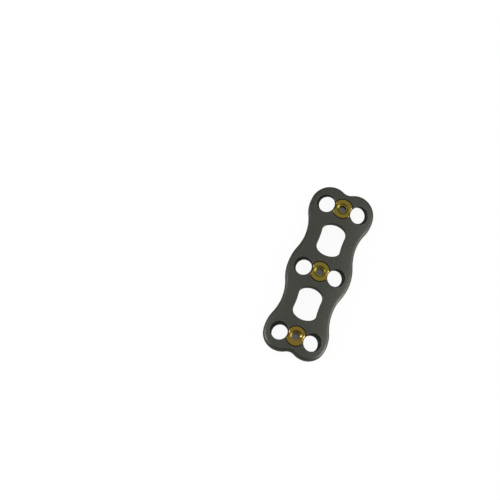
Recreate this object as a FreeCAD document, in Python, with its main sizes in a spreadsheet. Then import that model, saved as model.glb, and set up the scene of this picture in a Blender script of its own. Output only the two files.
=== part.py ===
import FreeCAD, Part
import math
import os
import Sketcher

# A two-level bone plate for the front of the neck, with six screw holes, two windows over the
# grafts and three round locks that turn a quarter to cover the screw heads.
# The plate is arched across its width and gently curved along its length.
# In the plate's own frame the origin is on the crown of its top face, at the middle lock:
# x runs across the plate, y along it and z away from the bone.

os.makedirs("parts", exist_ok=True)
doc = FreeCAD.newDocument("bone_plate")

# Every size that can be set by itself, in millimetres and degrees.
driving_sizes = {
    # outline, seen from above
    "plate_width": 18.0,
    "waist_width": 14.4,
    "row_spacing": 18.9,
    "end_margin": 5.2,
    "lobe_radius": 12.6,
    "shoulder_radius": 9.0,
    "shoulder_inset": 0.7,
    "corner_radius": 5.25,
    "notch_radius": 2.75,
    # section and eased edges
    "plate_thickness": 2.4,
    "arch_radius": 24.0,
    "curve_radius": 200.0,
    "top_edge_chamfer": 0.5,
    "under_edge_chamfer": 0.25,
    # screw holes
    "hole_pitch": 9.75,
    "hole_diameter": 4.5,
    "seat_radius": 2.6,
    "lean_across": 12.0,
    "lean_along": 6.0,
    # graft windows
    "window_length": 9.3,
    "window_waist": 6.5,
    "window_side_radius": 22.0,
    "window_corner_radius": 1.95,
    "window_end_radius": 4.7,
    # screw locks
    "head_diameter": 5.7,
    "head_thickness": 0.85,
    "head_chamfer": 0.18,
    "screw_head_clearance": 0.08,
    "shank_diameter": 2.9,
    "skirt_diameter": 3.5,
    "skirt_height": 0.35,
    "skirt_inset": 0.1,
    "socket_width": 1.85,
    "socket_depth": 1.5,
    "socket_mouth_diameter": 3.0,
    # running fits of the locks in the plate
    "head_clearance": 0.1,
    "floor_clearance": 0.05,
    "bore_clearance": 0.05,
}

sheet = doc.addObject("Spreadsheet::Sheet", "sizes")
for row, (size_name, size) in enumerate(driving_sizes.items(), start=1):
    sheet.set(f"A{row}", size_name)
    sheet.set(f"B{row}", str(size))
    sheet.setAlias(f"B{row}", size_name)
doc.recompute()

# How far stock and cutting profiles run past the plate.
side_overrun = 1.0
stock_overrun = 3.0
end_overrun = 12.0
face_overrun = 0.6

# Sections of the stock on either side of its middle one.
stations_each_way = 3

# Formulas in the sizes above, shared by sketches and placements.
half_width = "(sizes.plate_width / 2)"
half_length = "(sizes.row_spacing + sizes.end_margin)"
waist_depth = "((sizes.plate_width - sizes.waist_width) / 2)"
shoulder_y = "(sizes.row_spacing - sizes.shoulder_inset)"
waist_y = f"({shoulder_y} / 2 + {waist_depth} * (sizes.lobe_radius - sizes.shoulder_radius) / {shoulder_y})"
waist_radius = f"(({waist_y} ^ 2 + {waist_depth} ^ 2) / (2 * {waist_depth}) - sizes.lobe_radius)"
corner_y = f"({half_length} - sizes.corner_radius)"
under_radius = "(sizes.arch_radius - sizes.plate_thickness)"
hole_radius = "(sizes.hole_diameter / 2)"
hole_x = "(sizes.hole_pitch / 2)"
window_y = "(sizes.row_spacing / 2)"
head_radius = "(sizes.head_diameter / 2)"
shank_radius = "(sizes.shank_diameter / 2)"
skirt_radius = "(sizes.skirt_diameter / 2)"
tip_depth = "(sizes.plate_thickness - sizes.skirt_inset)"
skirt_start = f"({tip_depth} - sizes.skirt_height)"

up = FreeCAD.Vector(0, 0, 1)


def number(formula):
    """The value of a formula, in millimetres or degrees."""
    return FreeCAD.Units.Quantity(sheet.evalExpression(formula)).Value


def point(x, y):
    """A sketch point from two formulas."""
    return FreeCAD.Vector(number(x), number(y), 0)


def crown_height(x, y):
    """Formula for the height of the top face over a place on the plate."""
    ring = f"(sizes.curve_radius - sizes.arch_radius + sqrt(sizes.arch_radius ^ 2 - ({x}) ^ 2))"
    return f"(sqrt({ring} ^ 2 - ({y}) ^ 2) - sizes.curve_radius)"


def curve_lean(y):
    """Formula for the turn that leans a lock square to the plate's lengthwise curve."""
    return f"rotation(vector(1; 0; 0); -asin({y} / sizes.curve_radius))"


def new_body(name):
    body = doc.addObject("PartDesign::Body", name)
    body.Label = name
    return body


def origin_plane(body, role):
    return next(feature for feature in body.Origin.OriginFeatures if feature.Role == role)


def new_sketch(body, role, name, offset=None):
    """A sketch on one of the body's origin planes, moved on it by a placement formula."""
    sketch = body.newObject("Sketcher::SketchObject", name)
    sketch.AttachmentSupport = (origin_plane(body, role), [""])
    sketch.MapMode = "FlatFace"
    if offset:
        sketch.setExpression("AttachmentOffset", offset)
    return sketch


def bind(sketch, kind, places, formula):
    """A dimension of the sketch that follows a formula."""
    index = sketch.addConstraint(Sketcher.Constraint(kind, *places, number(formula)))
    sketch.setExpression(f"Constraints[{index}]", formula)


def draw_corners(sketch, corners, arcs=None):
    """A closed loop through the corners, each placed by two formulas. A side is straight, or an
    arc of the radius that arcs gives for the corner it starts from, about the centre given."""
    arcs = arcs or {}
    ends = []
    for index, corner in enumerate(corners):
        start = point(*corner)
        end = point(*corners[(index + 1) % len(corners)])
        if index not in arcs:
            geometry = sketch.addGeometry(Part.LineSegment(start, end), False)
            ends.append((geometry, 1, 2))
            continue
        radius, centre, clockwise = arcs[index]
        first, last = (end, start) if clockwise else (start, end)
        geometry = add_arc(sketch, point(*centre), number(radius), first, last)
        bind(sketch, "Radius", (geometry,), radius)
        ends.append((geometry, 2, 1) if clockwise else (geometry, 1, 2))
    for index, (geometry, start, end) in enumerate(ends):
        following, following_start, _ = ends[(index + 1) % len(ends)]
        sketch.addConstraint(Sketcher.Constraint("Coincident", geometry, end, following, following_start))
        bind(sketch, "DistanceX", (-1, 1, geometry, start), corners[index][0])
        bind(sketch, "DistanceY", (-1, 1, geometry, start), corners[index][1])


def add_arc(sketch, centre, radius, start, end):
    """An arc of a circle, anticlockwise from start to end."""
    first = math.atan2(start.y - centre.y, start.x - centre.x)
    last = math.atan2(end.y - centre.y, end.x - centre.x)
    if last < first:
        last += 2 * math.pi
    return sketch.addGeometry(Part.ArcOfCircle(Part.Circle(centre, up, radius), first, last), False)


def draw_smooth_quarter(sketch, rounds, start, end):
    """Arcs that run into each other, from a start on the x axis to an end on the y axis.
    Each has a centre, and a radius that is negative where the line curves inwards."""
    joints = [start]
    for (centre, radius), (next_centre, next_radius) in zip(rounds, rounds[1:]):
        joints.append(centre + (next_centre - centre) * (radius / (radius - next_radius)))
    joints.append(end)
    ends = []
    for (centre, radius), first, last in zip(rounds, joints, joints[1:]):
        if radius > 0:
            ends.append((add_arc(sketch, centre, radius, first, last), 1, 2))
        else:
            ends.append((add_arc(sketch, centre, -radius, last, first), 2, 1))
    for (geometry, _, finish), (following, begin, _) in zip(ends, ends[1:]):
        sketch.addConstraint(Sketcher.Constraint("Tangent", geometry, finish, following, begin))
    first, begin, _ = ends[0]
    last, _, finish = ends[-1]
    sketch.addConstraint(Sketcher.Constraint("PointOnObject", first, begin, -1))
    sketch.addConstraint(Sketcher.Constraint("PointOnObject", first, 3, -1))
    sketch.addConstraint(Sketcher.Constraint("PointOnObject", last, finish, -2))
    sketch.addConstraint(Sketcher.Constraint("PointOnObject", last, 3, -2))
    return (first, begin), (last, finish)


def draw_closing_lines(sketch, begin, finish, corners):
    """Straight lines from the end of an open line of arcs, through corners, back to its start."""
    start = sketch.getPoint(*begin)
    end = sketch.getPoint(*finish)
    places = [end] + [point(*corner) for corner in corners] + [start]
    previous = finish
    for index, (first, last) in enumerate(zip(places, places[1:])):
        line = sketch.addGeometry(Part.LineSegment(first, last), False)
        sketch.addConstraint(Sketcher.Constraint("Coincident", *previous, line, 1))
        if index < len(corners):
            bind(sketch, "DistanceX", (-1, 1, line, 2), corners[index][0])
            bind(sketch, "DistanceY", (-1, 1, line, 2), corners[index][1])
        previous = (line, 2)
    sketch.addConstraint(Sketcher.Constraint("Coincident", *previous, *begin))


def meeting_point(first_centre, first_radius, second_centre, second_radius):
    """The upper place where two circles cross."""
    between = second_centre - first_centre
    along = (between.Length ** 2 + first_radius ** 2 - second_radius ** 2) / (2 * between.Length)
    aside = math.sqrt(first_radius ** 2 - along ** 2)
    direction = between / between.Length
    crossings = [first_centre + direction * along + direction.cross(up) * aside * side for side in (1, -1)]
    return max(crossings, key=lambda place: place.y)


def add_feature(body, kind, name, profile):
    """A feature that adds or cuts a sketch's profile."""
    feature = body.newObject(f"PartDesign::{kind}", name)
    feature.Profile = profile
    return feature


def turn(body, kind, name, profile):
    """A profile turned all the way round its sketch's upright axis."""
    feature = add_feature(body, kind, name, profile)
    feature.ReferenceAxis = (profile, ["V_Axis"])
    feature.Angle = 360
    doc.recompute()
    return feature


def mirror_feature(body, name, original, planes):
    """Copies of a cut, mirrored in each plane in turn."""
    pattern = body.newObject("PartDesign::MultiTransform", name)
    pattern.Originals = [original]
    mirrors = []
    for index, plane in enumerate(planes, start=1):
        mirror = body.newObject("PartDesign::Mirrored", f"{name}_{index}")
        mirror.MirrorPlane = plane
        mirrors.append(mirror)
    pattern.Transformations = mirrors
    body.Tip = pattern
    doc.recompute()
    return pattern


def arched_faces(shape):
    """The plate's underside and its top face, which are its two largest faces."""
    largest = sorted(shape.Faces, key=lambda face: face.Area)[-2:]
    return sorted(largest, key=lambda face: face.CenterOfMass.z)


def edge_names(shape, edges):
    return [
        f"Edge{index}"
        for index, edge in enumerate(shape.Edges, start=1)
        if any(edge.isSame(other) for other in edges)
    ]


def chamfer_edges(body, name, edges, size):
    """A chamfer on edges of the body as it stands, its size a formula."""
    base = body.Tip
    chamfer = body.newObject("PartDesign::Chamfer", name)
    chamfer.Base = (base, edge_names(base.Shape, edges))
    chamfer.setExpression("Size", size)
    doc.recompute()
    return chamfer


# Plate

plate = new_body("plate")


def make_stock(body):
    """The arched section, lofted through stations that follow the plate's lengthwise curve."""
    half_stock = f"({half_width} + {side_overrun})"
    top_height = f"(sqrt(sizes.arch_radius ^ 2 - {half_stock} ^ 2) - sizes.arch_radius)"
    under_height = f"(sqrt({under_radius} ^ 2 - {half_stock} ^ 2) - sizes.arch_radius)"
    arch_centre = ("0", "-sizes.arch_radius")
    corners = [
        (half_stock, top_height),
        (f"-{half_stock}", top_height),
        (f"-{half_stock}", under_height),
        (half_stock, under_height),
    ]
    arcs = {
        0: ("sizes.arch_radius", arch_centre, False),
        2: (under_radius, arch_centre, True),
    }
    stations = []
    for step in range(-stations_each_way, stations_each_way + 1):
        y = f"({step} / {stations_each_way} * ({half_length} + {stock_overrun}))"
        place = f"vector(0; {crown_height('0', y)}; -{y})"
        name = f"section_{step + stations_each_way + 1}"
        station = new_sketch(body, "XZ_Plane", name, f"placement({place}; {curve_lean(y)})")
        doc.recompute()
        draw_corners(station, corners, arcs)
        stations.append(station)
    stock = body.newObject("PartDesign::AdditiveLoft", "stock")
    stock.Profile = stations[0]
    stock.Sections = stations[1:]
    doc.recompute()


def cut_outline(body):
    """The lobed outline: a quarter of the waste, with its copies in the other three."""
    sketch = new_sketch(body, "XY_Plane", "outline")
    shoulder_x = f"({half_width} - sizes.shoulder_radius)"
    rise = f"({corner_y} - {shoulder_y})"
    corner_x = f"({shoulder_x} + sqrt((sizes.shoulder_radius - sizes.corner_radius) ^ 2 - {rise} ^ 2))"
    notch_y = f"({corner_y} + sqrt((sizes.corner_radius + sizes.notch_radius) ^ 2 - {corner_x} ^ 2))"
    rounds = [
        (point(f"{half_width} - sizes.lobe_radius", "0"), number("sizes.lobe_radius")),
        (point(f"sizes.waist_width / 2 + {waist_radius}", waist_y), -number(waist_radius)),
        (point(shoulder_x, shoulder_y), number("sizes.shoulder_radius")),
        (point(corner_x, corner_y), number("sizes.corner_radius")),
        (point("0", notch_y), -number("sizes.notch_radius")),
    ]
    start = point(half_width, "0")
    end = point("0", f"{notch_y} - sizes.notch_radius")
    begin, finish = draw_smooth_quarter(sketch, rounds, start, end)
    bind(sketch, "DistanceX", (-1, 1, *begin), half_width)
    bind(sketch, "DistanceY", (-1, 1, 1, 3), waist_y)
    bind(sketch, "DistanceY", (-1, 1, 2, 3), shoulder_y)
    bind(sketch, "DistanceY", (-1, 1, 3, 3), corner_y)
    radii = ("sizes.lobe_radius", waist_radius, "sizes.shoulder_radius", "sizes.corner_radius",
             "sizes.notch_radius")
    for geometry, radius in enumerate(radii):
        bind(sketch, "Radius", (geometry,), radius)
    far_x = f"({half_width} + {end_overrun})"
    far_y = f"({half_length} + {end_overrun})"
    draw_closing_lines(sketch, begin, finish, [("0", far_y), (far_x, far_y), (far_x, "0")])
    cut = add_feature(body, "Pocket", "outline_quarter", sketch)
    cut.Type = "ThroughAll"
    cut.SideType = "Symmetric"
    doc.recompute()
    mirror_feature(body, "outline_cut", cut, [(sketch, ["V_Axis"]), (sketch, ["H_Axis"])])


def cut_windows(body):
    """The two windows: a quarter of one, mirrored into the whole and over to the other end."""
    sketch = new_sketch(body, "XY_Plane", "window", f"placement(vector(0; {window_y}; 0); rotation(0; 0; 0))")
    doc.recompute()
    half_waist = "(sizes.window_waist / 2)"
    half_window = "(sizes.window_length / 2)"
    side_centre = point(f"{half_waist} + sizes.window_side_radius", "0")
    end_centre = point("0", f"{half_window} - sizes.window_end_radius")
    corner_radius = number("sizes.window_corner_radius")
    corner_centre = meeting_point(
        side_centre, number("sizes.window_side_radius") + corner_radius,
        end_centre, number("sizes.window_end_radius") - corner_radius)
    rounds = [
        (side_centre, -number("sizes.window_side_radius")),
        (corner_centre, corner_radius),
        (end_centre, number("sizes.window_end_radius")),
    ]
    begin, finish = draw_smooth_quarter(sketch, rounds, point(half_waist, "0"), point("0", half_window))
    bind(sketch, "DistanceX", (-1, 1, *begin), half_waist)
    bind(sketch, "DistanceY", (-1, 1, *finish), half_window)
    for geometry, name in enumerate(("window_side_radius", "window_corner_radius", "window_end_radius")):
        bind(sketch, "Radius", (geometry,), f"sizes.{name}")
    draw_closing_lines(sketch, begin, finish, [("0", "0")])
    cut = add_feature(body, "Pocket", "window_quarter", sketch)
    cut.Type = "ThroughAll"
    cut.SideType = "Symmetric"
    doc.recompute()
    planes = [(sketch, ["V_Axis"]), (sketch, ["H_Axis"]), (origin_plane(body, "XZ_Plane"), [""])]
    mirror_feature(body, "window_cut", cut, planes)


def cut_lock_seat(body, row_name, row):
    """The stepped hole for one lock: a round pocket, a bore and a countersink under the plate."""
    y = f"({row} * sizes.row_spacing)"
    place = f"vector(0; {crown_height('0', y)}; -{y})"
    sketch = new_sketch(body, "XZ_Plane", f"{row_name}_lock_seat_profile",
                        f"placement({place}; {curve_lean(y)})")
    doc.recompute()
    pocket_radius = f"({head_radius} + sizes.head_clearance)"
    pocket_depth = "(sizes.head_thickness + sizes.floor_clearance)"
    bore_radius = f"({shank_radius} + sizes.bore_clearance)"
    flare = f"(({skirt_radius} - {shank_radius}) / sizes.skirt_height)"
    flare_end = f"(sizes.plate_thickness + {face_overrun})"
    flare_radius = f"({bore_radius} + {flare} * ({flare_end} - {skirt_start}))"
    draw_corners(sketch, [
        ("0", f"{face_overrun}"),
        ("0", f"-{flare_end}"),
        (flare_radius, f"-{flare_end}"),
        (bore_radius, f"-{skirt_start}"),
        (bore_radius, f"-{pocket_depth}"),
        (pocket_radius, f"-{pocket_depth}"),
        (pocket_radius, f"{face_overrun}"),
    ])
    turn(body, "Groove", f"{row_name}_lock_seat", sketch)


def cut_screw_hole(body, row_name, row, side_name, side):
    """One screw hole: a ball seat centred on the top face, and a bore. It leans in towards the
    plate's middle line, and at the ends its mouth leans towards the middle row."""
    x = f"({side} * {hole_x})"
    y = f"({row} * sizes.row_spacing)"
    place = f"vector({x}; {crown_height(x, y)}; -{y})"
    lean = f"rotation({-side} * sizes.lean_across; 0; {row} * sizes.lean_along)"
    name = f"{row_name}_{side_name}_hole"
    sketch = new_sketch(body, "XZ_Plane", f"{name}_profile", f"placement({place}; {lean})")
    doc.recompute()
    seat_depth = f"sqrt(sizes.seat_radius ^ 2 - {hole_radius} ^ 2)"
    bore_end = f"(sizes.plate_thickness + {face_overrun})"
    draw_corners(sketch, [
        ("0", f"{face_overrun}"),
        ("0", f"-{bore_end}"),
        (hole_radius, f"-{bore_end}"),
        (hole_radius, f"-{seat_depth}"),
        ("sizes.seat_radius", "0"),
        ("sizes.seat_radius", f"{face_overrun}"),
    ], {3: ("sizes.seat_radius", ("0", "0"), False)})
    turn(body, "Groove", name, sketch)


make_stock(plate)
cut_outline(plate)
chamfer_edges(plate, "top_edge", arched_faces(plate.Tip.Shape)[1].Edges, "sizes.top_edge_chamfer")
chamfer_edges(plate, "under_edge", arched_faces(plate.Tip.Shape)[0].Edges, "sizes.under_edge_chamfer")
cut_windows(plate)

rows = {"upper": 1, "middle": 0, "lower": -1}
sides = {"left": -1, "right": 1}
for row_name, row in rows.items():
    cut_lock_seat(plate, row_name, row)
    for side_name, side in sides.items():
        cut_screw_hole(plate, row_name, row, side_name, side)

# The part stands on its lowest points, the under edges of the four end lobes.
plate.Placement.Base.z = -plate.Tip.Shape.optimalBoundingBox(False, False).ZMin


# Locks


def make_lock(row_name, row):
    """One lock: a round head with two scallops that clear the screw heads, a shank through the
    plate and a skirt flared out under it, with a hexagon socket for the driver."""
    body = new_body(f"{row_name}_lock")
    profile = new_sketch(body, "XZ_Plane", f"{row_name}_lock_profile")
    draw_corners(profile, [
        ("0", "0"),
        ("0", f"-{tip_depth}"),
        (skirt_radius, f"-{tip_depth}"),
        (shank_radius, f"-{skirt_start}"),
        (shank_radius, "-sizes.head_thickness"),
        (head_radius, "-sizes.head_thickness"),
        (head_radius, "0"),
    ])
    turn(body, "Revolution", f"{row_name}_lock_turning", profile)

    scallops = new_sketch(body, "XY_Plane", f"{row_name}_scallops")
    scallop_radius = "(sizes.seat_radius + sizes.screw_head_clearance)"
    for side in sides.values():
        x = f"({side} * {hole_x})"
        circle = scallops.addGeometry(Part.Circle(point(x, "0"), up, number(scallop_radius)), False)
        scallops.addConstraint(Sketcher.Constraint("PointOnObject", circle, 3, -1))
        bind(scallops, "DistanceX", (-1, 1, circle, 3), x)
        bind(scallops, "Radius", (circle,), scallop_radius)
    scallop_cut = add_feature(body, "Pocket", f"{row_name}_scallop_cut", scallops)
    scallop_cut.Type = "Length"
    scallop_cut.setExpression("Length", "sizes.head_thickness")
    doc.recompute()

    mouth = new_sketch(body, "XZ_Plane", f"{row_name}_mouth_profile")
    mouth_radius = "(sizes.socket_mouth_diameter / 2)"
    draw_corners(mouth, [("0", "0"), ("0", f"-{mouth_radius}"), (mouth_radius, "0")])
    turn(body, "Groove", f"{row_name}_socket_mouth", mouth)

    hexagon = new_sketch(body, "XY_Plane", f"{row_name}_hexagon")
    corner_radius = "(sizes.socket_width / sqrt(3))"
    corners = [(f"({corner_radius} * cos({angle} deg))", f"({corner_radius} * sin({angle} deg))")
               for angle in range(0, 360, 60)]
    draw_corners(hexagon, corners)
    socket = add_feature(body, "Pocket", f"{row_name}_socket", hexagon)
    socket.Type = "Length"
    socket.setExpression("Length", "sizes.socket_depth")
    doc.recompute()

    top_face = max(socket.Shape.Faces, key=lambda face: (round(face.BoundBox.ZMin, 4), face.Area))
    scallop_depth = f"({head_radius} - {hole_x} + {scallop_radius})"
    chamfer_edges(body, f"{row_name}_head_chamfer", top_face.OuterWire.Edges,
                  f"min(sizes.head_chamfer; {scallop_depth} / 3)")

    y = f"({row} * sizes.row_spacing)"
    place = f"vector(0; {y}; plate.Placement.Base.z / 1 mm + {crown_height('0', y)})"
    body.setExpression("Placement", f"placement({place}; {curve_lean(y)})")
    return body


locks = [make_lock(row_name, row) for row_name, row in rows.items()]
doc.recompute()

# Nothing is written unless the whole document is sound.
for item in doc.Objects:
    faults = [state for state in item.State if state in ("Invalid", "Error")]
    if faults:
        raise RuntimeError(f"{item.Name} failed: {faults}")
for body in [plate] + locks:
    if body.Shape.isNull() or not body.Shape.isValid() or len(body.Shape.Solids) != 1:
        raise RuntimeError(f"{body.Label} is not one sound solid")
for body in [plate] + locks:
    body.Shape.exportStep(os.path.join("parts", f"{body.Label}.step"))
    print(body.Label, "volume", round(body.Shape.Volume, 2), "mm3", body.Shape.BoundBox)
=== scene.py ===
import math

import bmesh
import bpy
import numpy as np
from mathutils import Matrix, Vector
from mathutils.geometry import delaunay_2d_cdt


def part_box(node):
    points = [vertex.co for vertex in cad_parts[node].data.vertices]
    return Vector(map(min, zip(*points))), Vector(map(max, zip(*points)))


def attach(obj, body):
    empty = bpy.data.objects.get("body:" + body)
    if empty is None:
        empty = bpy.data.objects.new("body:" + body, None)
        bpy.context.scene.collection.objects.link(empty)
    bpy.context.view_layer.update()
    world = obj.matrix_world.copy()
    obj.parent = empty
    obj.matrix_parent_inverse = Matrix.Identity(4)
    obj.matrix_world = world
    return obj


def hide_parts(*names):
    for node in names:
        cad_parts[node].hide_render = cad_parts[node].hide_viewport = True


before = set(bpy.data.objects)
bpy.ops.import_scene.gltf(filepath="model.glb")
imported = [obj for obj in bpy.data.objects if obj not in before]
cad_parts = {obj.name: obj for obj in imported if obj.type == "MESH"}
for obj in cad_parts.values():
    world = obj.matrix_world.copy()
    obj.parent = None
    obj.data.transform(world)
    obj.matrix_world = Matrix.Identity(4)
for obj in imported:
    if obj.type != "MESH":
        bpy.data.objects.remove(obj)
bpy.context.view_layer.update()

mm = 0.001
creaseAngle = 32.0  # degrees; sharper edges stay sharp
mergeGap = 0.002  # mm; points closer than this become one
scene = bpy.context.scene
scene.view_settings.view_transform = "Standard"

# All shapes are worked out in millimetres and put into metres when their mesh is made.

# Rows of the plate and the sides of a row, as signs along y and x.
rows = {"upper": 1, "middle": 0, "lower": -1}
sides = {"left": -1, "right": 1}


# Meshes

def gridFaces(rowCount, columnCount):
    # quads of a grid whose columns close into a ring; corner order gives outward faces when the rows
    # run up and the columns run anticlockwise
    row, column = np.meshgrid(np.arange(rowCount - 1), np.arange(columnCount), indexing="ij")
    here = (row * columnCount + column).ravel()
    beside = (row * columnCount + (column + 1) % columnCount).ravel()
    return np.stack([here, beside, beside + columnCount, here + columnCount], axis=1)


def newPiece(name, parts):
    # one object from (points in mm, faces) parts, with doubles merged and normals pointing outwards
    points, faces, start = [], [], 0
    for partPoints, partFaces in parts:
        points.append(partPoints)
        faces.extend((partFaces + start).tolist())
        start += len(partPoints)
    mesh = bpy.data.meshes.new(name)
    mesh.from_pydata((np.concatenate(points) * mm).tolist(), [], faces)
    work = bmesh.new()
    work.from_mesh(mesh)
    bmesh.ops.remove_doubles(work, verts=work.verts, dist=mergeGap * mm)
    bmesh.ops.recalc_face_normals(work, faces=work.faces)
    work.to_mesh(mesh)
    work.free()
    piece = bpy.data.objects.new(name, mesh)
    scene.collection.objects.link(piece)
    smoothPiece(piece)
    return piece


def smoothPiece(piece):
    piece.data.shade_smooth()
    piece.data.set_sharp_from_angle(angle=math.radians(creaseAngle))


def turnedSurface(profile, columns):
    # a surface of revolution: each profile point (radius, height) goes round the z axis
    angle = np.linspace(0, 2 * np.pi, columns, endpoint=False)
    radius, height = np.array(profile, dtype=float).T
    points = np.stack([
        np.outer(radius, np.cos(angle)),
        np.outer(radius, np.sin(angle)),
        np.repeat(height[:, None], columns, axis=1)], axis=-1)
    return points.reshape(-1, 3), gridFaces(len(profile), columns)


def leanMatrix(axis):
    # the turn that carries the z axis to an axis
    return np.array(Vector((0, 0, 1)).rotation_difference(Vector(axis)).to_matrix())


def leanTo(points, place, axis):
    # carries points so that their z axis lies along axis and their origin at place
    return points @ leanMatrix(axis).T + np.array(place)


# Plate

plate = {
    "width": 18.0,
    "waistWidth": 14.4,
    "rowSpacing": 18.9,
    "endMargin": 5.2,  # from the outer rows to the ends of the lobes
    "lobeRadius": 12.6,  # side of the middle lobes
    "shoulderRadius": 9.0,  # side of the end lobes
    "shoulderInset": 0.7,  # from the outer rows to where the end lobes are widest
    "cornerRadius": 5.25,
    "notchRadius": 2.75,  # hollow in the middle of each end
    "thickness": 2.4,
    "archRadius": 24.0,  # of the top face, across the plate
    "curveRadius": 200.0,  # of the crown, along the plate
    "topRound": 0.65,
    "underRound": 0.3,
    "windowLength": 9.3,
    "windowWaist": 6.5,
    "windowSideRadius": 22.0,
    "windowCornerRadius": 1.95,
    "windowEndRadius": 4.7,
    "windowRound": 0.22,
    "edgeStep": 0.3,  # between points along the outline
    "windowStep": 0.24,  # the same along a window
    "roundRows": 7,  # rows of points over each rounded edge
    "faceStep": 0.55,  # between points in a row of the faces' net
    "faceRows": 0.866,  # between its rows, as a share of the step
    "faceGap": 0.6,  # the least from an edge to the net, as a share of the step
}

# The crown of the top face at the middle lock is the plate's highest place.
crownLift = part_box("middle_lock")[1].z / mm


def topHeight(x, y, depth=0.0):
    # height of the face that lies a depth under the top one: an arch of radius r across the plate,
    # turned about a far axis so that its crown follows the lengthwise curve R
    arch = plate["archRadius"]
    ring = plate["curveRadius"] - arch + np.sqrt((arch - depth) ** 2 - x ** 2)
    return crownLift + np.sqrt(ring ** 2 - y ** 2) - plate["curveRadius"]


def arcChain(rounds, start, end, step):
    # arcs that run into each other: each has a centre and a radius, negative where the line curves
    # inwards; a point is centre + radius * (cos, sin) of its normal's angle
    centres = [np.array(centre, dtype=float) for centre, _ in rounds]
    radii = [radius for _, radius in rounds]
    joints = [np.array(start, dtype=float)]
    for index in range(len(rounds) - 1):
        share = radii[index] / (radii[index] - radii[index + 1])
        joints.append(centres[index] + (centres[index + 1] - centres[index]) * share)
    joints.append(np.array(end, dtype=float))
    points, normals = [], []
    for centre, radius, first, last in zip(centres, radii, joints, joints[1:]):
        begin = math.atan2(*((first - centre) / radius)[::-1])
        finish = math.atan2(*((last - centre) / radius)[::-1])
        count = max(3, math.ceil(abs(finish - begin) * abs(radius) / step))
        angle = np.linspace(begin, finish, count, endpoint=False)
        normal = np.stack([np.cos(angle), np.sin(angle)], axis=1)
        points.append(centre + radius * normal)
        normals.append(normal)
    points.append(joints[-1][None])
    normals.append(((joints[-1] - centres[-1]) / radii[-1])[None])
    return np.concatenate(points), np.concatenate(normals)


def closedLoop(quarter):
    # a quarter of a loop, from the x axis to the y axis, mirrored into the whole, anticlockwise
    flips = [(1, 1), (-1, 1), (-1, -1), (1, -1)]
    turns = []
    for index, flip in enumerate(flips):
        part = quarter * np.array(flip)
        turns.append((part[::-1] if index % 2 else part)[:-1])
    return np.concatenate(turns)


def outlineLoop():
    # the plate seen from above: lobe, waist, shoulder, corner and end notch, each an arc into the next
    half = plate["width"] / 2
    depth = (plate["width"] - plate["waistWidth"]) / 2
    shoulderY = plate["rowSpacing"] - plate["shoulderInset"]
    waistY = shoulderY / 2 + depth * (plate["lobeRadius"] - plate["shoulderRadius"]) / shoulderY
    waistRadius = (waistY ** 2 + depth ** 2) / (2 * depth) - plate["lobeRadius"]
    shoulderX = half - plate["shoulderRadius"]
    cornerY = plate["rowSpacing"] + plate["endMargin"] - plate["cornerRadius"]
    cornerX = shoulderX + math.sqrt(
        (plate["shoulderRadius"] - plate["cornerRadius"]) ** 2 - (cornerY - shoulderY) ** 2)
    notchY = cornerY + math.sqrt((plate["cornerRadius"] + plate["notchRadius"]) ** 2 - cornerX ** 2)
    rounds = [
        ((half - plate["lobeRadius"], 0), plate["lobeRadius"]),
        ((plate["waistWidth"] / 2 + waistRadius, waistY), -waistRadius),
        ((shoulderX, shoulderY), plate["shoulderRadius"]),
        ((cornerX, cornerY), plate["cornerRadius"]),
        ((0, notchY), -plate["notchRadius"]),
    ]
    end = (0, notchY - plate["notchRadius"])
    points, normals = arcChain(rounds, (half, 0), end, plate["edgeStep"])
    return closedLoop(points), closedLoop(normals)


def windowLoop(centreY):
    # a window seen from above: sides that curve inwards, round corners and arched ends
    sideX = plate["windowWaist"] / 2 + plate["windowSideRadius"]
    endY = plate["windowLength"] / 2 - plate["windowEndRadius"]
    corner = plate["windowCornerRadius"]
    # the corner's centre is where circles about the two neighbours cross
    between = np.array([-sideX, endY])
    sideReach = plate["windowSideRadius"] + corner
    endReach = plate["windowEndRadius"] - corner
    span = np.linalg.norm(between)
    along = (span ** 2 + sideReach ** 2 - endReach ** 2) / (2 * span)
    aside = math.sqrt(sideReach ** 2 - along ** 2)
    unit = between / span
    cornerPlace = np.array([sideX, 0]) + unit * along + np.array([unit[1], -unit[0]]) * aside
    rounds = [
        ((sideX, 0), -plate["windowSideRadius"]),
        (cornerPlace, corner),
        ((0, endY), plate["windowEndRadius"]),
    ]
    start = (plate["windowWaist"] / 2, 0)
    end = (0, plate["windowLength"] / 2)
    points, normals = arcChain(rounds, start, end, plate["windowStep"])
    return closedLoop(points) + np.array([0, centreY]), closedLoop(normals)


def rimBand(loop, normals, inwards, topRound, underRound):
    # the edge profile carried along a loop: rounded under edge, upright wall, rounded top edge;
    # a round of radius r is inset r(1 - cos b) and lies r(1 - sin b) short of its face
    angle = np.linspace(0, np.pi / 2, plate["roundRows"])
    band = []
    for turn in angle[::-1]:
        plan = loop + inwards * normals * underRound * (1 - math.cos(turn))
        height = topHeight(*plan.T, plate["thickness"]) + underRound * (1 - math.sin(turn))
        band.append((plan, height))
    foot, footHeight = band[-1]
    headHeight = topHeight(*foot.T) - topRound
    for share in (0.25, 0.5, 0.75):
        band.append((foot, footHeight + (headHeight - footHeight) * share))
    for turn in angle:
        plan = loop + inwards * normals * topRound * (1 - math.cos(turn))
        band.append((plan, topHeight(*plan.T) - topRound * (1 - math.sin(turn))))
    points = np.concatenate([np.column_stack([plan, height]) for plan, height in band])
    return points, gridFaces(len(band), len(loop)), band[0][0], band[-1][0]


def insideLoop(places, loop):
    # even-odd test of places against a closed loop
    x, y = places[:, :1], places[:, 1:]
    ax, ay = loop.T
    bx, by = np.roll(loop, -1, axis=0).T
    crosses = (ay > y) != (by > y)
    reach = (bx - ax) * (y - ay) / np.where(by == ay, 1e-9, by - ay) + ax
    return ((crosses & (x < reach)).sum(axis=1) % 2) == 1


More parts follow.
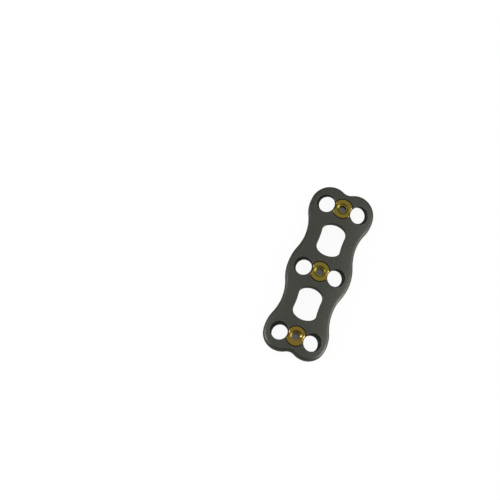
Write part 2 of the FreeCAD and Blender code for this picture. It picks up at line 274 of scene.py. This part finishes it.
def archedFace(loops, height):
    # the face between an outer loop and the loops inside it: a net of points, each row half a step
    # along from the last, joined into triangles and lifted to the height of the face
    step = plate["faceStep"]
    low, high = loops[0].min(axis=0), loops[0].max(axis=0)
    across = np.arange(low[0], high[0], step)
    along = np.arange(low[1], high[1], step * plate["faceRows"])
    net = np.stack(np.meshgrid(across, along), axis=-1)
    net[1::2, :, 0] += step / 2
    net = net.reshape(-1, 2)
    keep = insideLoop(net, loops[0])
    for loop in loops[1:]:
        keep &= ~insideLoop(net, loop)
    for loop in loops:
        gap = np.sqrt(((net[:, None] - loop[None]) ** 2).sum(axis=2)).min(axis=1)
        keep &= gap > plate["faceGap"] * step
    edges, start = [], 0
    for loop in loops:
        ring = np.arange(len(loop)) + start
        edges.append(np.stack([ring, np.roll(ring, -1)], axis=1))
        start += len(loop)
    places = np.concatenate(loops + [net[keep]])
    made = delaunay_2d_cdt(places.tolist(), np.concatenate(edges).tolist(), [], 1, 1e-7)
    plan, faces = np.array(made[0]), np.array(made[2])
    middles = plan[faces].mean(axis=1)
    keep = insideLoop(middles, loops[0])
    for loop in loops[1:]:
        keep &= ~insideLoop(middles, loop)
    return np.column_stack([plan, height(*plan.T)]), faces[keep]


def makePlate():
    # edge bands round the outline and the windows, closed by the two arched faces
    half = plate["rowSpacing"] / 2
    bands = [rimBand(*outlineLoop(), -1, plate["topRound"], plate["underRound"])]
    for centreY in (half, -half):
        bands.append(rimBand(*windowLoop(centreY), 1, plate["windowRound"], plate["windowRound"]))
    parts = [(points, faces) for points, faces, under, top in bands]
    unders = [under for points, faces, under, top in bands]
    tops = [top for points, faces, under, top in bands]
    parts.append(archedFace(tops, topHeight))
    parts.append(archedFace(unders, lambda x, y: topHeight(x, y, plate["thickness"])))
    return newPiece("plate_body", parts)


# Holes of the plate

hole = {
    "pitch": 9.75,  # between the two holes of a row
    "radius": 2.25,
    "seatRadius": 2.6,  # of the ball that a screw's head sits in
    "leanAcross": math.radians(12.0),
    "leanAlong": math.radians(6.0),  # outer rows only
    "pocketRadius": 2.95,
    "pocketDepth": 0.9,
    "lockBore": 1.5,
    "flareStart": 1.95,  # depth where the countersink for a lock's foot begins
    "flareSlope": 0.3 / 0.35,
    "reach": 3.4,  # of the cutting shapes, above and below the top face
    "seatRows": 14,
    "columns": 96,
}


def rowFrame(row):
    # the crown of the top face at a row, and the way that it faces there
    y = row * plate["rowSpacing"]
    tilt = math.asin(y / plate["curveRadius"])
    return (0, y, float(topHeight(0, y))), (0, math.sin(tilt), math.cos(tilt))


def screwHoleTool(row, side):
    # ball seat centred on the top face, running into a straight bore
    seat, bore, reach = hole["seatRadius"], hole["radius"], hole["reach"]
    turn = np.linspace(0, math.acos(bore / seat), hole["seatRows"])
    profile = [(0, reach), (seat, reach)]
    profile += [(seat, height) for height in (2.0, 1.0, 0.5)]
    profile += list(zip(seat * np.cos(turn), -seat * np.sin(turn)))
    profile += [(bore, -reach), (0, -reach)]
    points, faces = turnedSurface(profile[::-1], hole["columns"])
    along = hole["leanAlong"] * row
    across = hole["leanAcross"] * side
    axis = (math.sin(across) * math.cos(along), -math.sin(along), math.cos(across) * math.cos(along))
    x, y = side * hole["pitch"] / 2, row * plate["rowSpacing"]
    return leanTo(points, (x, y, float(topHeight(x, y))), axis), faces


def lockSeatTool(row):
    # round pocket for the head, bore for the shank and a countersink for the flared foot
    reach = hole["reach"]
    flare = hole["lockBore"] + (reach - hole["flareStart"]) * hole["flareSlope"]
    profile = [(0, reach), (hole["pocketRadius"], reach), (hole["pocketRadius"], -hole["pocketDepth"]),
               (hole["lockBore"], -hole["pocketDepth"]), (hole["lockBore"], -hole["flareStart"]),
               (flare, -reach), (0, -reach)]
    points, faces = turnedSurface(profile[::-1], hole["columns"])
    return leanTo(points, *rowFrame(row)), faces


def cutAway(piece, name, tool):
    # takes a closed tool out of the piece and keeps the result as its mesh
    cutter = newPiece(name, [tool])
    cut = piece.modifiers.new(name, "BOOLEAN")
    cut.operation = "DIFFERENCE"
    cut.solver = "EXACT"
    cut.object = cutter
    graph = bpy.context.evaluated_depsgraph_get()
    mesh = bpy.data.meshes.new_from_object(piece.evaluated_get(graph))
    piece.modifiers.clear()
    old, piece.data = piece.data, mesh
    bpy.data.meshes.remove(old)
    bpy.data.objects.remove(cutter)


plateBody = makePlate()
for rowName, row in rows.items():
    cutAway(plateBody, f"{rowName}LockSeat", lockSeatTool(row))
    for sideName, side in sides.items():
        cutAway(plateBody, f"{rowName}{sideName}Hole", screwHoleTool(row, side))
smoothPiece(plateBody)
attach(plateBody, "plate")
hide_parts("plate")
print("plate made:", len(plateBody.data.polygons), "faces")


# Locks

lock = {
    "headRadius": 2.85,
    "headThickness": 0.85,
    "rimBevel": (0.2, 0.25),  # width and depth of the bevel on the round rim
    "scallopBevel": (0.34, 0.22),  # the same along the scallops
    "bevelBlend": 0.25,  # how far the plan draws in while one turns into the other
    "tipRound": 0.16,  # of the tips between rim and scallop
    "scallopRadius": 2.68,
    "underBreak": 0.06,  # small chamfer round the head's under edge
    "mouthRadius": 1.68,
    "mouthRound": 0.22,  # from the face into the wall of the mouth
    "wallSlope": math.radians(32),
    "wallWidth": 0.34,
    "ledgeSlope": math.radians(12),
    "ledgeRound": 0.4,  # from the wall into the ledge about the hexagon
    "mouthRows": 8,
    "socketWidth": 1.85,
    "socketDepth": 1.5,
    "socketBreak": 0.03,  # small chamfer round the hexagon's top edge
    "socketLip": (0.01, 0.05),  # how far its wall stands inwards, and how far down
    "floorBreak": (0.06, 0.1),  # width and height of the chamfer round its floor
    "drillPoint": 0.28,
    "shankRadius": 1.45,
    "skirtRadius": 1.75,
    "skirtStart": 1.95,
    "skirtBreak": 0.08,
    "tipDepth": 2.3,
    "columns": 360,
    "brown": {"upper": 0.25, "middle": 0.0, "lower": 0.8},  # tint of each face, from yellow to brown
}


def softMinimum(first, second, blend):
    # the lesser of two values, with the crease between them rounded over a width
    gap = np.clip(0.5 + (second - first) / (2 * blend), 0, 1)
    return second * (1 - gap) + first * gap - blend * gap * (1 - gap)


def lockPlan(angle):
    # radius of the head's plan at an angle: a disc less two circles centred on the screw holes
    holeX = hole["pitch"] / 2
    away = 9.0  # any radius well past the head, where a circle doesn't reach it
    inner = lock["scallopRadius"] ** 2 - (holeX * np.sin(angle)) ** 2
    reach = holeX * np.abs(np.cos(angle)) - np.sqrt(np.maximum(inner, 0))
    scallop = np.where(inner > 0, reach, away)
    return softMinimum(scallop, np.full_like(angle, lock["headRadius"]), lock["tipRound"])


def mouthLine():
    # radii and depths from the flat face down to the ledge about the hexagon: a convex round, a conical
    # wall and a concave round; along a round of radius q it goes sideways by the change of q sin and
    # down by the change of q cos of its slope
    convex = np.linspace(0, lock["wallSlope"], lock["mouthRows"])
    concave = np.linspace(lock["wallSlope"], lock["ledgeSlope"], lock["mouthRows"])
    sideways = np.concatenate([
        [0], lock["mouthRound"] * np.abs(np.diff(np.sin(convex))),
        [lock["wallWidth"]], lock["ledgeRound"] * np.abs(np.diff(np.sin(concave)))])
    down = np.concatenate([
        [0], lock["mouthRound"] * np.abs(np.diff(np.cos(convex))),
        [lock["wallWidth"] * math.tan(lock["wallSlope"])],
        lock["ledgeRound"] * np.abs(np.diff(np.cos(concave)))])
    return lock["mouthRadius"] - np.cumsum(sideways), np.cumsum(down)


def lockSurface():
    # a star-shaped grid about the lock's axis: each row gives a radius and a height for every angle,
    # from the foot up the outside, over the head and down into the socket
    angle = np.linspace(0, 2 * np.pi, lock["columns"], endpoint=False)
    plan = lockPlan(angle)
    ones = np.ones_like(angle)
    # a hexagon's radius is its half width over the cosine of the angle from the nearest flat's middle
    hexagon = lock["socketWidth"] / 2 / np.cos((angle + np.pi / 6) % (np.pi / 3) - np.pi / 6)
    thick, deep, tip = lock["headThickness"], lock["socketDepth"], lock["tipDepth"]
    surface = [
        (0 * ones, -tip * ones),
        ((lock["skirtRadius"] - lock["skirtBreak"]) * ones, -tip * ones),
        (lock["skirtRadius"] * ones, -(tip - lock["skirtBreak"]) * ones),
        (lock["shankRadius"] * ones, -lock["skirtStart"] * ones),
        (lock["shankRadius"] * ones, -thick * ones),
        (plan - lock["underBreak"], -thick * ones),
        (plan, -(thick - lock["underBreak"]) * ones)]
    # the bevel along the top edge goes from the rim's to the scallops' as the plan draws in
    scalloped = np.clip((lock["headRadius"] - plan) / lock["bevelBlend"], 0, 1)
    width, drop = [
        rim + (side - rim) * scalloped for rim, side in zip(lock["rimBevel"], lock["scallopBevel"])]
    # its two corners are rounded by parabolas: share and fall run along the bevel, past each corner
    for share, fall in ((0, 1.25), (0.02, 1.12), (0.07, 1.0), (0.15, 0.88), (0.5, 0.5), (0.85, 0.15),
                        (1.0, 0.04), (1.12, 0.01), (1.25, 0)):
        surface.append((plan - width * share, -drop * fall))
    radii, depths = mouthLine()
    for radius, depth in zip(radii[:-1], depths[:-1]):
        surface.append((radius * ones, -depth * ones))
    edge = depths[-1] + lock["socketBreak"]
    lip, floor = lock["socketLip"], lock["floorBreak"]
    surface += [
        (np.maximum(radii[-1], hexagon + lock["socketBreak"]), -depths[-1] * ones),
        (hexagon, -edge * ones),
        (hexagon - lip[0], -(edge + lip[1]) * ones),
        (hexagon, -(deep - floor[1]) * ones),
        (hexagon - floor[0], -deep * ones),
        (0 * ones, -(deep + lock["drillPoint"]) * ones)]
    points = np.stack([
        np.stack([radius * np.cos(angle), radius * np.sin(angle), height], axis=1)
        for radius, height in surface])
    return points.reshape(-1, 3), gridFaces(len(surface), lock["columns"])


def addAttribute(piece, name, values):
    # one number for each point, which the material reads
    layer = piece.data.attributes.new(name, "FLOAT", "POINT")
    layer.data.foreach_set("value", np.asarray(values, np.float32))


def meshPoints(piece):
    # the points of a piece, in millimetres
    flat = np.empty(len(piece.data.vertices) * 3, np.float32)
    piece.data.vertices.foreach_get("co", flat)
    return flat.reshape(-1, 3).astype(float) / mm


locks = []
for rowName, row in rows.items():
    points, faces = lockSurface()
    place, axis = rowFrame(row)
    piece = newPiece(f"{rowName}_lock_body", [(leanTo(points, place, axis), faces)])
    # distances from the axis, below the face and in from the head's edge, in millimetres
    local = (meshPoints(piece) - np.array(place)) @ leanMatrix(axis)
    radius = np.hypot(local[:, 0], local[:, 1])
    addAttribute(piece, "radius", radius)
    addAttribute(piece, "depth", -local[:, 2])
    addAttribute(piece, "inset", lockPlan(np.arctan2(local[:, 1], local[:, 0])) - radius)
    addAttribute(piece, "brown", np.full(len(local), lock["brown"][rowName]))
    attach(piece, f"{rowName}_lock")
    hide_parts(f"{rowName}_lock")
    locks.append(piece)
print("locks made:", len(locks), "of", len(locks[0].data.polygons), "faces")


# Materials

bumpStrength = 0.5
bevelSamples = 6


def hexColour(code):
    # sRGB hex text to linear RGBA
    channels = [int(code[index:index + 2], 16) / 255 for index in (1, 3, 5)]
    linear = [
        value / 12.92 if value <= 0.04045 else ((value + 0.055) / 1.055) ** 2.4 for value in channels]
    return (*linear, 1.0)


def addNode(material, kind, settings=None, inputs=None):
    # one shader node: settings are its own properties, inputs are values or (node, output) links
    tree = material.node_tree
    node = tree.nodes.new(kind)
    for name, value in (settings or {}).items():
        setattr(node, name, value)
    for name, value in (inputs or {}).items():
        if isinstance(value, tuple) and isinstance(value[0], bpy.types.Node):
            tree.links.new(value[0].outputs[value[1]], node.inputs[name])
        else:
            node.inputs[name].default_value = value
    return node


def newMaterial(name):
    material = bpy.data.materials.new(name)
    material.use_nodes = True
    material.node_tree.nodes.clear()
    return material


def finishMaterial(material, shader):
    output = addNode(material, "ShaderNodeOutputMaterial")
    material.node_tree.links.new(shader.outputs[0], output.inputs["Surface"])
    return material


titanium = {
    "colour": "#43443f",
    "shade": "#3e3f39",
    "wornAndHighlit": "#74756f",  # where the film is worn thin along edges, and partly a painted highlight there
    "lowSheen": "#c0c0bc",  # tint of the sheen seen along the face
    "roughness": 0.45,
    "roughnessSpread": 0.05,
    "cloudSize": 5.0,
    "grainSize": 0.35,
    "grainDepth": 0.03,
    "grainTint": 0.14,  # how much lighter or darker a grain is
    "grainSpan": (0.3, 0.7),  # noise from the darkest grain to the lightest
    "edgeRound": 0.05,
    "wearWidth": 0.2,
    "wearTurn": 0.85,  # cosine between the two normals where an edge is most worn and most highlit
    "wearShare": 0.6,
}


def makeTitanium():
    # titanium alloy, milled, blasted with glass beads and anodised dark grey: an even satin sheen with a
    # fine grain, and a paler colour along the sharper edges, partly film worn thinner and partly painted
    # highlight;
    # its dents shade each other, so the sheen seen along the face is weaker than a polished metal's;
    # the beads leave dents of 0.05 mm, drawn seven times as coarse so that they show
    material = newMaterial("beadBlastedTitanium")
    place = addNode(material, "ShaderNodeTexCoord")
    cloud = addNode(material, "ShaderNodeTexNoise", None, {
        "Vector": (place, "Object"), "Scale": 1 / (titanium["cloudSize"] * mm), "Detail": 3.0})
    tint = addNode(material, "ShaderNodeMix", {"data_type": "RGBA"}, {
        0: (cloud, 0), 6: hexColour(titanium["shade"]), 7: hexColour(titanium["colour"])})
    grain = addNode(material, "ShaderNodeTexNoise", None, {
        "Vector": (place, "Object"), "Scale": 1 / (titanium["grainSize"] * mm), "Detail": 2.0})
    speck = addNode(material, "ShaderNodeMapRange", None, {
        "Value": (grain, 0), "From Min": titanium["grainSpan"][0], "From Max": titanium["grainSpan"][1],
        "To Min": 1 - titanium["grainTint"], "To Max": 1 + titanium["grainTint"]})
    grained = addNode(material, "ShaderNodeMix", {"data_type": "RGBA", "blend_type": "MULTIPLY"}, {
        0: 1.0, 6: (tint, 2), 7: (speck, 0)})
    # an edge is where the normal of a wider rounding leaves the surface's own; there the colour turns
    # paler, partly worn film and partly a painted highlight
    surface = addNode(material, "ShaderNodeNewGeometry")
    rounded = addNode(material, "ShaderNodeBevel", {"samples": bevelSamples}, {
        "Radius": titanium["wearWidth"] * mm})
    likeness = addNode(material, "ShaderNodeVectorMath", {"operation": "DOT_PRODUCT"}, {
        0: (surface, "Normal"), 1: (rounded, 0)})
    wearAndHighlight = addNode(material, "ShaderNodeMapRange", None, {
        "Value": (likeness, "Value"), "From Min": 1.0, "From Max": titanium["wearTurn"],
        "To Max": titanium["wearShare"]})
    coloured = addNode(material, "ShaderNodeMix", {"data_type": "RGBA"}, {
        0: (wearAndHighlight, 0), 6: (grained, 2), 7: hexColour(titanium["wornAndHighlit"])})
    gloss = addNode(material, "ShaderNodeMapRange", None, {
        "Value": (grain, 0),
        "To Min": titanium["roughness"] - titanium["roughnessSpread"],
        "To Max": titanium["roughness"] + titanium["roughnessSpread"]})
    soft = addNode(material, "ShaderNodeBevel", {"samples": bevelSamples}, {
        "Radius": titanium["edgeRound"] * mm})
    bump = addNode(material, "ShaderNodeBump", None, {
        "Height": (grain, 0), "Normal": (soft, 0), "Strength": bumpStrength,
        "Distance": titanium["grainDepth"] * mm})
    shader = addNode(material, "ShaderNodeBsdfPrincipled", None, {
        "Base Color": (coloured, 2), "Metallic": 1.0, "Roughness": (gloss, 0), "Normal": (bump, 0),
        "Specular Tint": hexColour(titanium["lowSheen"])})
    return finishMaterial(material, shader)


goldTitanium = {
    "face": "#665b0e",
    "brownFace": "#69540f",
    # painted shade round the rim, for the gap's shadow and the dark seen in the rim's bevel
    "edge": "#4a370c",
    "socket": "#48454a",
    "lowSheen": "#cbb98c",  # tint of the sheen seen along the face
    "cloudSize": 1.2,
    "rimStart": 0.15,  # in from the edge, where the painted rim shade begins to fade into the gold face
    "rimEnd": 0.6,
    "rimWander": 0.25,  # how far the clouds push the rim's line about
    "socketTintRadius": 1.2,  # nothing further out takes the socket colour
    "socketTintDepth": 0.33,  # below the face, where the socket colour begins
    "socketTintBlend": 0.12,
    "roughness": 0.25,
    "roughnessSpread": 0.05,
    "coat": 0.4,
    "coatRoughness": 0.1,
    "toolPitch": 0.09,
    "toolDepth": 0.0015,
    "edgeRound": 0.03,
}


def makeGoldTitanium():
    # the same alloy, turned and anodised to a clear gold oxide film: smoother than the plate, with
    # rings from the lathe tool, painted shade round the rim and a darker grey-purple colour in the
    # socket;
    # the rings are 0.03 mm apart, drawn three times as coarse so that they show
    material = newMaterial("goldAnodisedTitanium")
    place = addNode(material, "ShaderNodeTexCoord")
    radius = addNode(material, "ShaderNodeAttribute", {"attribute_name": "radius"})
    depth = addNode(material, "ShaderNodeAttribute", {"attribute_name": "depth"})
    inset = addNode(material, "ShaderNodeAttribute", {"attribute_name": "inset"})
    cloud = addNode(material, "ShaderNodeTexNoise", None, {
        "Vector": (place, "Object"), "Scale": 1 / (goldTitanium["cloudSize"] * mm), "Detail": 3.0})
    shifted = addNode(material, "ShaderNodeMath", {"operation": "MULTIPLY_ADD"}, {
        0: (cloud, 0), 1: goldTitanium["rimWander"], 2: (inset, "Fac")})
    rimShadeShare = addNode(material, "ShaderNodeMapRange", {"interpolation_type": "SMOOTHSTEP"}, {
        "Value": (shifted, 0), "From Min": goldTitanium["rimStart"], "From Max": goldTitanium["rimEnd"]})
    brown = addNode(material, "ShaderNodeAttribute", {"attribute_name": "brown"})
    face = addNode(material, "ShaderNodeMix", {"data_type": "RGBA"}, {
        0: (brown, "Fac"), 6: hexColour(goldTitanium["face"]), 7: hexColour(goldTitanium["brownFace"])})
    # the face colour, darkened round the rim by painted shade
    faceAndRimShade = addNode(material, "ShaderNodeMix", {"data_type": "RGBA"}, {
        0: (rimShadeShare, 0), 6: hexColour(goldTitanium["edge"]), 7: (face, 2)})
    # darker grey-purple colour inside the hexagon socket
    socketShare = addNode(material, "ShaderNodeMapRange", {"interpolation_type": "SMOOTHSTEP"}, {
        "Value": (depth, "Fac"), "From Min": goldTitanium["socketTintDepth"],
        "From Max": goldTitanium["socketTintDepth"] + goldTitanium["socketTintBlend"]})
    inside = addNode(material, "ShaderNodeMath", {"operation": "LESS_THAN"}, {
        0: (radius, "Fac"), 1: goldTitanium["socketTintRadius"]})
    socketTintShare = addNode(material, "ShaderNodeMath", {"operation": "MULTIPLY"}, {
        0: (socketShare, 0), 1: (inside, 0)})
    colour = addNode(material, "ShaderNodeMix", {"data_type": "RGBA"}, {
        0: (socketTintShare, 0), 6: (faceAndRimShade, 2), 7: hexColour(goldTitanium["socket"])})
    # a wave of scale s repeats every pi / (10 s)
    ringPlace = addNode(material, "ShaderNodeCombineXYZ", None, {"X": (radius, "Fac")})
    rings = addNode(material, "ShaderNodeTexWave", {"bands_direction": "X"}, {
        "Vector": (ringPlace, 0), "Scale": math.pi / 10 / goldTitanium["toolPitch"]})
    gloss = addNode(material, "ShaderNodeMapRange", None, {
        "Value": (cloud, 0),
        "To Min": goldTitanium["roughness"] - goldTitanium["roughnessSpread"],
        "To Max": goldTitanium["roughness"] + goldTitanium["roughnessSpread"]})
    soft = addNode(material, "ShaderNodeBevel", {"samples": bevelSamples}, {
        "Radius": goldTitanium["edgeRound"] * mm})
    bump = addNode(material, "ShaderNodeBump", None, {
        "Height": (rings, "Fac"), "Normal": (soft, 0), "Strength": bumpStrength,
        "Distance": goldTitanium["toolDepth"] * mm})
    shader = addNode(material, "ShaderNodeBsdfPrincipled", None, {
        "Base Color": (colour, 2), "Metallic": 1.0, "Roughness": (gloss, 0), "Normal": (bump, 0),
        "Specular Tint": hexColour(goldTitanium["lowSheen"]),
        "Coat Weight": goldTitanium["coat"], "Coat Roughness": goldTitanium["coatRoughness"]})
    return finishMaterial(material, shader)


def dress(pieces, material):
    for piece in pieces:
        piece.data.materials.clear()
        piece.data.materials.append(material)


plateFinish = makeTitanium()
lockFinish = makeGoldTitanium()
dress([plateBody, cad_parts["plate"]], plateFinish)
dress(locks + [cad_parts[f"{rowName}_lock"] for rowName in rows], lockFinish)
print("materials made")


# Floor, camera and lamps

view = {
    "lens": 159.0,
    "sensor": 36.0,
    "picture": 500,  # pixels along a side
    "tilt": 12.0,  # degrees from straight down
    "roll": 20.64,  # degrees that the plate is turned clockwise in the picture
    "pixelsPerMm": 3.668,
    "centre": (319.67, 271.9),  # where the target is in the picture, in pixels from its top left
    "target": 4.5,  # height of the point aimed at, in mm
}

stage = {
    "half": 2.0,  # half the side of the floor, in metres
    "paper": "#f2f2f0",
    "glow": 0.93,  # share of plain white in what the camera sees of it
    "glowInMetal": 0.3,  # the same for mirror images
    "room": 0.3,
}


def makeStage():
    # white paper: the camera sees it nearly white by itself, and the rest of its light keeps the shadow
    half = stage["half"]
    corners = [(-half, -half, 0), (half, -half, 0), (half, half, 0), (-half, half, 0)]
    mesh = bpy.data.meshes.new("floor")
    mesh.from_pydata(corners, [], [(0, 1, 2, 3)])
    floor = bpy.data.objects.new("floor", mesh)
    scene.collection.objects.link(floor)
    material = newMaterial("whitePaper")
    paths = addNode(material, "ShaderNodeLightPath")
    mirrored = addNode(material, "ShaderNodeMath", {"operation": "MULTIPLY"}, {
        0: (paths, "Is Glossy Ray"), 1: stage["glowInMetal"]})
    seen = addNode(material, "ShaderNodeMath", {"operation": "MULTIPLY_ADD"}, {
        0: (paths, "Is Camera Ray"), 1: stage["glow"], 2: (mirrored, 0)})
    paper = addNode(material, "ShaderNodeBsdfDiffuse", None, {"Color": hexColour(stage["paper"])})
    glow = addNode(material, "ShaderNodeEmission", None, {"Color": (1, 1, 1, 1), "Strength": 1.0})
    mixed = addNode(material, "ShaderNodeMixShader", None, {0: (seen, 0), 1: (paper, 0), 2: (glow, 0)})
    dress([floor], finishMaterial(material, mixed))


def makeCamera():
    # the camera stands over the plate, tilted towards its lower end and rolled on its line of sight
    camera = bpy.data.cameras.new("camera")
    camera.lens = view["lens"]
    camera.sensor_width = view["sensor"]
    camera.clip_start = 0.01
    camera.clip_end = 10
    holder = bpy.data.objects.new("camera", camera)
    scene.collection.objects.link(holder)
    scene.camera = holder
    tilt, roll = math.radians(view["tilt"]), math.radians(view["roll"])
    back = Vector((0, -math.sin(tilt), math.cos(tilt)))
    across = Vector((1, 0, 0))
    upright = back.cross(across)
    right = across * math.cos(roll) + upright * math.sin(roll)
    above = upright * math.cos(roll) - across * math.sin(roll)
    # metres on the target's plane from the picture's middle, and back to where the lens takes it all in
    middle, pixel = view["picture"] / 2, mm / view["pixelsPerMm"]
    aside = (middle - view["centre"][0]) * pixel
    higher = (view["centre"][1] - middle) * pixel
    distance = middle * pixel / (view["sensor"] / 2 / view["lens"])
    target = Vector((0, 0, view["target"] * mm))
    turned = Matrix((right, above, back)).transposed().to_4x4()
    place = target + back * distance + right * aside + above * higher
    holder.matrix_world = Matrix.Translation(place) @ turned


# Round area lamps: angles in degrees, distance and size in metres, power in watts.
lamps = {
    "overhead": {"azimuth": 90, "elevation": 70, "distance": 0.9, "size": 2.2, "power": 10.2},
    "right": {"azimuth": 10, "elevation": 22, "distance": 0.9, "size": 0.6, "power": 4.0},
    "lowRight": {"azimuth": -10, "elevation": 8, "distance": 0.9, "size": 0.24, "power": 6.5},
    "left": {"azimuth": 199, "elevation": 20, "distance": 0.9, "size": 0.4, "power": 6.6},
}


def makeLamp(name, azimuth, elevation, distance, size, power):
    # a lamp on a ball about the plate, aimed at its middle
    lamp = bpy.data.lights.new(name, "AREA")
    lamp.shape = "DISK"
    lamp.size = size
    lamp.energy = power
    holder = bpy.data.objects.new(name, lamp)
    scene.collection.objects.link(holder)
    turn, rise = math.radians(azimuth), math.radians(elevation)
    aim = Vector((math.cos(turn) * math.cos(rise), math.sin(turn) * math.cos(rise), math.sin(rise)))
    holder.location = aim * distance
    holder.rotation_euler = aim.to_track_quat("Z", "Y").to_euler()


makeStage()
makeCamera()
for lampName, values in lamps.items():
    makeLamp(lampName, **values)

world = bpy.data.worlds.new("room")
world.use_nodes = True
scene.world = world
background = world.node_tree.nodes["Background"]
background.inputs["Color"].default_value = (1, 1, 1, 1)
background.inputs["Strength"].default_value = stage["room"]
print("stage, camera and", len(lamps), "lamps made")
